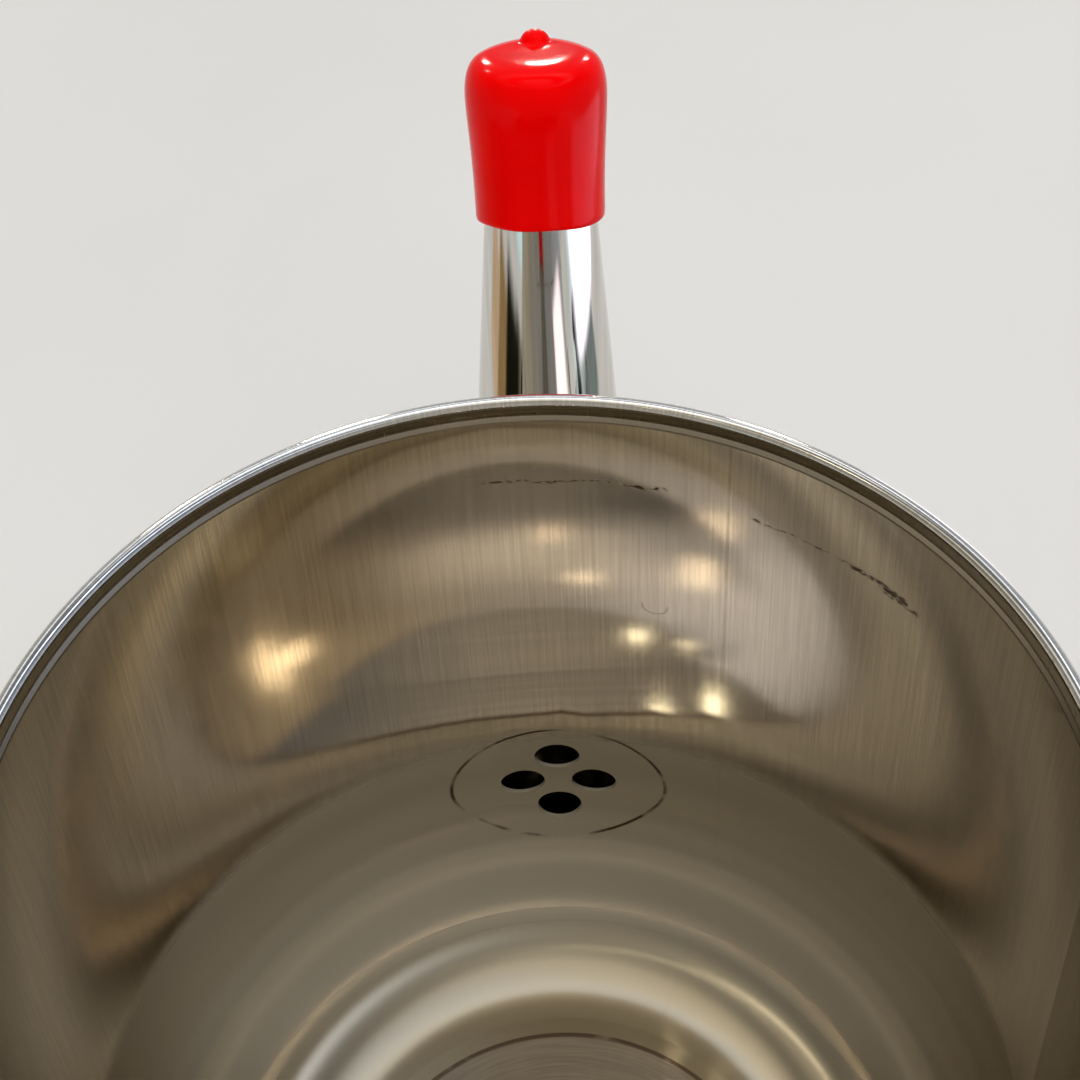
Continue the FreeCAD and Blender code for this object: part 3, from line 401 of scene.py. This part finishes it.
# Two scuffs from utensils, each a thin line that thickens towards its end, burnt brown where fat has
# stained them: height, first and last degrees from the spout, half thickness, strength.
for scuff_level, first, last, thick, strength in (
        (107.0, -7.0, 15.6, 0.09, 0.75), (107.0, 12.4, 15.2, 0.30, 0.9),
        (105.9, 28.0, 42.0, 0.09, 0.75), (105.9, 41.0, 49.0, 0.36, 0.8), (105.3, 46.0, 51.0, 0.42, 0.75)):
    drift = add(tree, "ShaderNodeMapRange", {"Value": wiggle(tree, parts, 0.35, 0.3, 0.7),
                                             "To Min": -0.35, "To Max": 0.35})
    moved = add(tree, "ShaderNodeMath", {0: level, 1: drift.outputs[0]}, operation="ADD").outputs[0]
    scuff = product(tree, band(tree, moved, scuff_level, thick, 0.25),
                    band(tree, degrees, (first + last) / 2, (last - first) / 2, 1.0),
                    wiggle(tree, parts, 1.3, 0.38, 0.56), strength)
    wear_and_painted_shade(tree, shader, scuff, "4f3c1c", 0.4)
nodes["pot_wall"].material_slots[0].material = wall_steel

# ---- Rolled rim --------------------------------------------------------------------------------
# The wall's own edge: curled outwards into a tube, with a neck under it and a small step below,
# closed and burnished by a roller.

curl_axis, curl_level, curl = 56.05, 120.05, 0.97
neck_and_step = [(55.08, 119.0), (55.02, 118.8), (54.66, 118.45), (54.60, 118.25)]
behind_the_skin = [(54.9, 118.25), (55.45, 118.9), (55.6, 119.6)]
section = [(curl_axis + curl * math.cos(math.radians(turn)), curl_level + curl * math.sin(math.radians(turn)))
           for turn in range(-75, 181, 15)]
section += neck_and_step + behind_the_skin
form = bmesh.new()
points = [form.verts.new((radius / MM, 0, height / MM)) for radius, height in section]
edges = [form.edges.new(pair) for pair in zip(points, points[1:] + points[:1])]
bmesh.ops.spin(form, geom=points + edges, cent=(0, 0, 0), axis=(0, 0, 1), angle=math.tau, steps=288,
               use_merge=True)
bmesh.ops.remove_doubles(form, verts=form.verts, dist=1e-7)
bmesh.ops.recalc_face_normals(form, faces=form.faces)
rim = make_piece(form, "rolled_rim")
# Burnished stainless: brighter than the wall, with short marks across the curl. The groove under
# it carries painted shade, a brown darkening.
rim_steel, tree, shader, parts = steel_sheet("stainless_18_8_roller_burnished", "dfdbd4", 0.10, 0.25,
                                             0.0008, run="up")
# Painted shade: the groove under the curl is darkened brown, and made duller too.
groove = add(tree, "ShaderNodeMapRange", {"Value": parts.outputs["Z"], "From Min": 119.3, "From Max": 118.7},
             interpolation_type="SMOOTHSTEP").outputs[0]
wear_and_painted_shade(tree, shader, product(tree, groove, 0.75), "8d7c62", 0.3)
rim.data.materials.append(rim_steel)
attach(rim, "pot")

# ---- Pot bottom --------------------------------------------------------------------------------
# A disc of the same sheet as the wall, its middle pressed up by half a millimetre or so, and
# butt-welded into the wall's foot all round.

# Satin-polished round and round, with the brown line of its weld at the edge.
floor_steel, tree, shader, parts = steel_sheet("stainless_18_8_satin_floor_disc", "d3cabc", 0.06, 0.35,
                                               0.0004)
weld_radius = 32.75
flat = add(tree, "ShaderNodeCombineXYZ", {"X": parts.outputs["X"], "Y": parts.outputs["Y"]})
radius = add(tree, "ShaderNodeVectorMath", {0: flat.outputs[0]}, operation="LENGTH").outputs["Value"]
weld = product(tree, band(tree, radius, weld_radius, 0.25, 0.45), wiggle(tree, parts, 0.2, 0.2, 0.45), 0.8)
wear_and_painted_shade(tree, shader, weld, "5a3c1c", 0.3)
nodes["pot_bottom"].material_slots[0].material = floor_steel

# ---- Spout -------------------------------------------------------------------------------------
# Tapered stainless tube bent at its foot, with a pressed flange round it that hugs the pot's wall
# and is welded to it all round.

# Buffed to a mirror along the tube, so that only faint lines are left in it.
spout_steel = steel_sheet("stainless_18_8_mirror_buffed", "d8d5cf", 0.060, 0.5, 0.0012, run="along")[0]
for name in ("spout_tube", "spout_flange"):
    nodes[name].material_slots[0].material = spout_steel


def skin(form, rings, closed):
    """Joins rings of as many points into a tube, and the last ring to the first if it is closed."""
    for first, second in zip(rings, rings[1:] + (rings[:1] if closed else [])):
        for corner in range(len(first)):
            after = (corner + 1) % len(first)
            form.faces.new((first[corner], first[after], second[after], second[corner]))


# The fillet weld follows the flange's edge, as a ribbed bead laid by hand in overlapping drops. Each
# of its stations is the mean of nine neighbouring points of the edge.
spout_level, stations, facets = 0.0321, 300, 10
bead_radius, rib_height, rib_stations, unevenness = 0.42, 0.10, 5, 0.05
flange = nodes["spout_flange"]
flange_points = [flange.matrix_world @ vertex.co for vertex in flange.data.vertices]
edge = []
for step in range(stations):
    turn = math.tau * step / stations
    edge.append(max(flange_points, key=lambda spot: spot.x * math.cos(turn)
                    + (spot.z - spout_level) * math.sin(turn) - 0.02 * spot.y))
form = bmesh.new()
rings = []
for step in range(stations):
    middle = sum((edge[(step + near) % stations] for near in range(-4, 5)), Vector()) / 9
    turn = math.tau * step / stations
    outward = Vector((math.cos(turn), 0, math.sin(turn)))
    rib = rib_height * math.sin(step * math.tau / rib_stations)
    size = (bead_radius + rib + unevenness * noise.noise(Vector((step * 0.3, 0, 0)))) / MM
    ring = []
    for facet in range(facets):
        side = math.tau * facet / facets
        ring.append(form.verts.new(middle + outward * size * math.cos(side)
                                   + Vector((0, 1, 0)) * size * math.sin(side)))
    rings.append(ring)
skin(form, rings, closed=True)
bmesh.ops.recalc_face_normals(form, faces=form.faces)
bead = make_piece(form, "spout_weld_bead")
# Weld metal, brushed after welding: duller than the sheet, straw-brown from its heat in places.
bead_steel, tree, shader, parts = steel_sheet("stainless_weld_metal_brushed", "b9ad98", 0.28, 0.3, 0.01)
wear_and_painted_shade(tree, shader, product(tree, wiggle(tree, parts, 0.3, 0.45, 0.65), 0.6), "7a5c34")
bead.data.materials.append(bead_steel)
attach(bead, "pot")

# ---- Spout cap ---------------------------------------------------------------------------------
# Soft PVC plastisol cap, dip-moulded on a pin: thicker towards its crown, glossy, with the drip left
# on top where the last of the paste ran off. It is pushed over the spout's lip.

cap_mouth = Vector((0, 0.100616, 0.113368))
cap_lean = math.radians(75 - 90)
# Half the section, as (radius, height above the mouth): up the outside to the drip, down inside.
outside = [(8.10, 0.25), (8.25, -0.02), (8.60, -0.10), (8.86, 0.10), (8.93, 0.6), (8.90, 2.0), (9.00, 6.0),
           (9.20, 11.0), (9.44, 14.8), (9.46, 16.8), (9.34, 18.2), (9.00, 19.6), (8.4, 20.7), (7.2, 21.5),
           (6.0, 21.8), (4.4, 21.9), (3.1, 21.95)]
drip = [(2.0, 22.1), (1.85, 22.6), (1.4, 23.2), (0.7, 23.55), (0.0, 23.62)]
inside = [(0.0, 20.40), (6.2, 20.40), (7.5, 20.0), (8.06, 18.8), (8.06, 10.0), (8.05, 1.0)]
form = bmesh.new()
points = [form.verts.new((radius / MM, 0, height / MM)) for radius, height in outside + drip + inside]
edges = [form.edges.new(pair) for pair in zip(points, points[1:] + points[:1])
         if not (abs(pair[0].co.x) < 1e-9 and abs(pair[1].co.x) < 1e-9)]
bmesh.ops.spin(form, geom=points + edges, cent=(0, 0, 0), axis=(0, 0, 1), angle=math.tau, steps=72,
               use_merge=True)
bmesh.ops.remove_doubles(form, verts=form.verts, dist=1e-6)
bmesh.ops.recalc_face_normals(form, faces=form.faces)
# The mouth is cut a little askew and wavy, the drip sits behind the middle of the crown, which is
# lower there, and the skin is uneven by a few hundredths of a millimetre.
crown_start, crown_radius, crown_slope, drip_offset = 21.0, 8.0, 0.12, 3.6
skin_starts, lump_height = 0.0084, 0.05
for vertex in form.verts:
    turn = math.atan2(vertex.co.y, vertex.co.x)
    near_mouth = max(0.0, 1 - vertex.co.z * MM / 3.0)
    askew = 1.7 * max(0.0, -math.sin(turn)) - 1.3
    ripple = askew + 0.12 * math.sin(turn * 2 + 0.6) + 0.08 * math.sin(turn * 5 + 2.0)
    if vertex.co.z * MM > crown_start:
        vertex.co.z -= crown_slope * max(0.0, vertex.co.y)
        inwards = min(1.0, max(0.0, (crown_radius - vertex.co.xy.length * MM) / 5.0))
        vertex.co.y += inwards * drip_offset / MM
    vertex.co.z += near_mouth * ripple / MM
    lump = noise.noise(vertex.co * 260.0) * lump_height / MM
    if vertex.co.xy.length > skin_starts:
        vertex.co.xy *= 1 + lump / vertex.co.xy.length
bmesh.ops.transform(form, matrix=Matrix.Translation(cap_mouth) @ Matrix.Rotation(cap_lean, 4, "X"),
                    verts=form.verts)
cap = make_piece(form, "dipped_cap")
rounding = cap.modifiers.new("rounding", "SUBSURF")
rounding.levels = rounding.render_levels = 2
# Plasticised PVC, dipped: a saturated red that deepens in spots some 8 mm wide, a wet gloss and the
# faintest orange peel, about a millimetre from dimple to dimple.
material, tree, shader = new_material("pvc_plastisol_dip_moulded_red")
place = add(tree, "ShaderNodeTexCoord").outputs["Object"]
peel = add(tree, "ShaderNodeTexNoise", {"Vector": place, "Scale": 900.0, "Detail": 2.0})
depth = add(tree, "ShaderNodeTexNoise", {"Vector": place, "Scale": 120.0, "Detail": 2.0})
red = fill_ramp(add(tree, "ShaderNodeValToRGB", {0: depth.outputs["Fac"]}),
                [(0.3, srgb("ee0000")), (0.7, srgb("f80001"))])
relief = add(tree, "ShaderNodeBump", {"Height": peel.outputs["Fac"], "Strength": 0.08, "Distance": 0.0002})
tree.links.new(red.outputs[0], shader.inputs["Base Color"])
tree.links.new(relief.outputs[0], shader.inputs["Normal"])
shader.inputs["Roughness"].default_value = 0.12
shader.inputs["IOR"].default_value = 1.53
shader.inputs["Specular IOR Level"].default_value = 0.05
cap.data.materials.append(material)
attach(cap, "cap")
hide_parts("spout_cap")

# ---- Handle ------------------------------------------------------------------------------------
# Two pressings of stainless sheet closed into a hollow loop. Its arms stand on two saddle plates,
# which are spot-welded to the wall through their wings.

# Pressed stainless, linished on a belt: greyer and duller than the pot, with plain lines.
handle_steel = steel_sheet("stainless_18_8_pressed_and_linished", "cdc8bd", 0.17, 0.4, 0.004)[0]
for name in ("handle_upper_saddle", "handle_lower_saddle", "handle_back", "handle_front"):
    nodes[name].material_slots[0].material = handle_steel

# The electrodes leave shallow round pads, a pair on each wing, above and below the arm.
mouth_radius, mouth_level, wall_slope, wall_and_saddle = 54.6, 121, math.tan(math.radians(3.9)), 1.6
arm_levels, pad_offset, pad_degrees, proud = (101.0, 43.0), 7.0, 13.5, 0.00002
form = bmesh.new()
for side in (-pad_degrees, pad_degrees):
    for pad_level in (arm + offset for arm in arm_levels for offset in (pad_offset, -pad_offset)):
        turn = math.radians(side)
        face = mouth_radius + (mouth_level - pad_level) * wall_slope + wall_and_saddle
        normal = Vector((math.sin(turn), -math.cos(turn), wall_slope)).normalized()
        middle = Vector((math.sin(turn) * face, -math.cos(turn) * face, pad_level)) / MM
        tilt = normal.to_track_quat("Z", "Y").to_matrix().to_4x4()
        bmesh.ops.create_cone(form, cap_ends=True, segments=28, radius1=2.5 / MM, radius2=2.15 / MM,
                              depth=0.22 / MM, matrix=Matrix.Translation(middle + normal * proud) @ tilt)
bmesh.ops.recalc_face_normals(form, faces=form.faces)
marks = make_piece(form, "spot_weld_marks", smooth=False)
# The same sheet, pressed smooth and slightly straw-coloured by the weld's heat.
marks.data.materials.append(steel_sheet("stainless_spot_weld_straw", "c3b79f", 0.22, 0.3, 0.003)[0])
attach(marks, "pot")

# ---- Strainer ----------------------------------------------------------------------------------
# Deep-drawn cup of stainless sheet with a wired flange and a punched floor. A disc of woven wire lies
# on the floor, held down by a ring.

strainer_middle = (0.126, 0, 0)
# Deep-drawn stainless, satin-polished as it spins: fine lines round and round, and a soft gloss.
cup_steel = steel_sheet("stainless_18_8_deep_drawn_satin", "ccc7bb", 0.16, 0.35, 0.004,
                        centre=strainer_middle)[0]
for name in ("strainer_cup", "mesh_retainer"):
    nodes[name].material_slots[0].material = cup_steel

# Plain weave of round wire, one over and one under. Along X the wires slope evenly from crossing to
# crossing, and along Y they keep their height half the way and change over in the other half.
pitch, wire_radius, disc_radius, weave_level, weave_height = 1.6, 0.072, 39.6, 0.65, 0.070
disc_middle = Vector(strainer_middle) * MM
form = bmesh.new()
for along_y in (False, True):
    for row in range(-24, 25):
        offset = row * pitch + (pitch / 2 if along_y else 0.0)
        reach = int(math.sqrt(max(0.0, disc_radius ** 2 - offset ** 2)) / (pitch / 2))
        rings = []
        for step in range(-reach, reach + 1):
            along = step * pitch / 2
            crossing = (step if along_y else step - 1) // 2 + row
            over = 1 if crossing % 2 else -1
            if along_y:
                spot, wide = Vector((offset, along, weave_level + weave_height * over)), Vector((1, 0, 0))
            else:
                over *= step % 2
                spot, wide = Vector((along, offset, weave_level - weave_height * over)), Vector((0, 1, 0))
            rings.append([form.verts.new((spot + (wide * math.cos(turn) + Vector((0, 0, math.sin(turn))))
                                          * wire_radius + disc_middle) / MM)
                          for turn in (0, math.pi / 2, math.pi, math.pi * 1.5)])
        skin(form, rings, closed=False)
bmesh.ops.recalc_face_normals(form, faces=form.faces)
weave = make_piece(form, "woven_disc")
# Drawn stainless wire: bright, its tone changing every fifth of a millimetre with marks of the die.
wire_steel = steel_sheet("stainless_18_8_drawn_wire", "cfcbc2", 0.20, 0.2, 0.002, centre=strainer_middle)[0]
weave.data.materials.append(wire_steel)
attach(weave, "strainer")
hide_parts("strainer_mesh")

# ---- Lid ---------------------------------------------------------------------------------------
# Pressed stainless with a wired edge, and a plug that centres it in the strainer's mouth. A black knob
# stands on a dished washer, held by a screw from below in a brass insert.

# Pressed stainless, buffed as it spins: nearly a mirror, with round lines.
lid_steel = steel_sheet("stainless_18_8_pressed_mirror_lid", "d2cec5", 0.08, 0.35, 0.002,
                        centre=strainer_middle)[0]
for name in ("lid_shell", "knob_washer", "knob_screw"):
    nodes[name].material_slots[0].material = lid_steel
# Phenolic compound, compression-moulded: black, and glossy from the die with satin spots a
# millimetre or two wide where fingers have worn it.
material, tree, shader = new_material("phenolic_compression_moulded_black")
place = add(tree, "ShaderNodeTexCoord").outputs["Object"]
worn = add(tree, "ShaderNodeTexNoise", {"Vector": place, "Scale": 700.0, "Detail": 3.0})
gloss = add(tree, "ShaderNodeMapRange", {"Value": worn.outputs["Fac"], "To Min": 0.18, "To Max": 0.32})
tree.links.new(gloss.outputs[0], shader.inputs["Roughness"])
shader.inputs["Base Color"].default_value = srgb("151413")
nodes["lid_knob"].material_slots[0].material = material
# Brass, turned: yellow, with a gloss that changes every half a millimetre or so.
material, tree, shader = new_material("brass_turned")
place = add(tree, "ShaderNodeTexCoord").outputs["Object"]
grain = add(tree, "ShaderNodeTexNoise", {"Vector": place, "Scale": 1500.0, "Detail": 2.0})
gloss = add(tree, "ShaderNodeMapRange", {"Value": grain.outputs["Fac"], "To Min": 0.2, "To Max": 0.35})
tree.links.new(gloss.outputs[0], shader.inputs["Roughness"])
shader.inputs["Base Color"].default_value = srgb("c9a24a")
shader.inputs["Metallic"].default_value = 1.0
nodes["knob_insert"].material_slots[0].material = material
